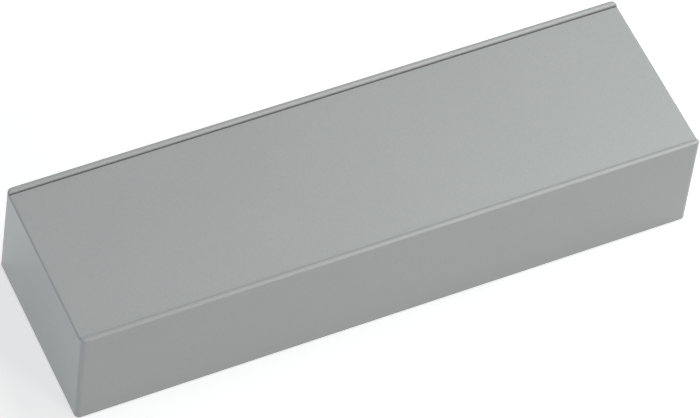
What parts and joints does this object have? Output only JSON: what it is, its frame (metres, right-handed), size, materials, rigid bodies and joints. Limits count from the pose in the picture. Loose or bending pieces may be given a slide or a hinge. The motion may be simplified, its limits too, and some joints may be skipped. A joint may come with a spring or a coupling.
{
  "type": "door closer",
  "caption": "Surface-mounted rack-and-pinion door closer body with a lift-off box cover, sprung piston, metering valves and an arm spindle on one long side.",
  "frame": {"origin": "middle of the mounting face, on the back of the housing", "axes": "+X along the closer towards its damping end, +Y towards the side where the spindle leaves for its arm, +Z away from the door, out of the cover's front panel"},
  "size_m": [0.2076, 0.0683, 0.0395],
  "materials": {
    "cover_paint": "matt metallic silver-grey paint",
    "cast_aluminium": "as-cast, shot blasted",
    "plated_steel": "zinc plated",
    "bearing_steel": "ground",
    "hardened_steel": "machined and hardened",
    "spring_steel": "oiled",
    "valve_brass": "turned",
    "seal_rubber": "matt"
  },
  "bodies": {
    "housing": {"housing": "cast_aluminium", "damping_end_plug": "plated_steel", "spring_end_plug": "plated_steel", "end_plug_seals": "seal_rubber", "upper_bearing_cap": "plated_steel", "lower_bearing_cap": "plated_steel", "bearing_cap_seals": "seal_rubber", "upper_bearing_cup": "bearing_steel", "upper_bearing_needles": "bearing_steel", "lower_bearing_cup": "bearing_steel", "lower_bearing_needles": "bearing_steel", "spindle_seal": "seal_rubber", "upper_thrust_washer": "bearing_steel", "lower_thrust_washer": "bearing_steel", "oil_way_plugs": "bearing_steel", "spring_side_clip": "spring_steel", "damping_side_clip": "spring_steel", "clip_screws": "plated_steel"},
    "cover": {"cover": "cover_paint"},
    "spindle": {"spindle": "hardened_steel"},
    "piston": {"piston": "hardened_steel", "check_valve_retainer": "bearing_steel"},
    "check_valve_ball": {"check_valve_ball": "bearing_steel"},
    "spring_seat": {"spring_seat": "hardened_steel", "closing_spring": "spring_steel"},
    "power_adjuster": {"power_adjusting_screw": "plated_steel", "adjusting_screw_seal": "seal_rubber", "adjusting_screw_retaining_ring": "spring_steel"},
    "closing_speed_valve": {"closing_speed_valve": "valve_brass", "closing_speed_valve_seal": "seal_rubber"},
    "latching_speed_valve": {"latching_speed_valve": "valve_brass", "latching_speed_valve_seal": "seal_rubber"}
  },
  "joints": [
    {"name": "cover_lift", "type": "slide", "parent": "housing", "child": "cover", "axis": [0, 0, 1], "range_m": [0, 0.06]},
    {"name": "spindle_turn", "type": "hinge", "parent": "housing", "child": "spindle", "pos_m": [0.02, 0, 0.0186], "axis": [0, 1, 0], "range_deg": [0, 180]},
    {"name": "piston_slide", "type": "slide", "parent": "housing", "child": "piston", "axis": [-1, 0, 0], "range_m": [0, 0.02827], "stiffness_N_per_m": 800, "springref_m": -0.012, "deforming": ["closing_spring"]},
    {"name": "check_ball_lift", "type": "slide", "parent": "piston", "child": "check_valve_ball", "axis": [1, 0, 0], "range_m": [0, 0.0008]},
    {"name": "power_screw_turn", "type": "hinge", "parent": "housing", "child": "power_adjuster", "pos_m": [-0.08, 0, 0.0186], "axis": [1, 0, 0], "range_deg": [0, 1440]},
    {"name": "spring_seat_slide", "type": "slide", "parent": "housing", "child": "spring_seat", "axis": [1, 0, 0], "range_m": [0, 0.005], "deforming": ["closing_spring"]},
    {"name": "closing_speed_valve_turn", "type": "hinge", "parent": "housing", "child": "closing_speed_valve", "pos_m": [0.059, -0.024, 0.0186], "axis": [0, -1, 0], "range_deg": [-180, 180]},
    {"name": "latching_speed_valve_turn", "type": "hinge", "parent": "housing", "child": "latching_speed_valve", "pos_m": [0.074, -0.024, 0.0186], "axis": [0, -1, 0], "range_deg": [-180, 180]}
  ],
  "couplings": [
    {"joint": "spindle_turn", "follows": "piston_slide", "rad_per_m": 111.11},
    {"joint": "power_screw_turn", "follows": "spring_seat_slide", "rad_per_m": 5026.5}
  ]
}
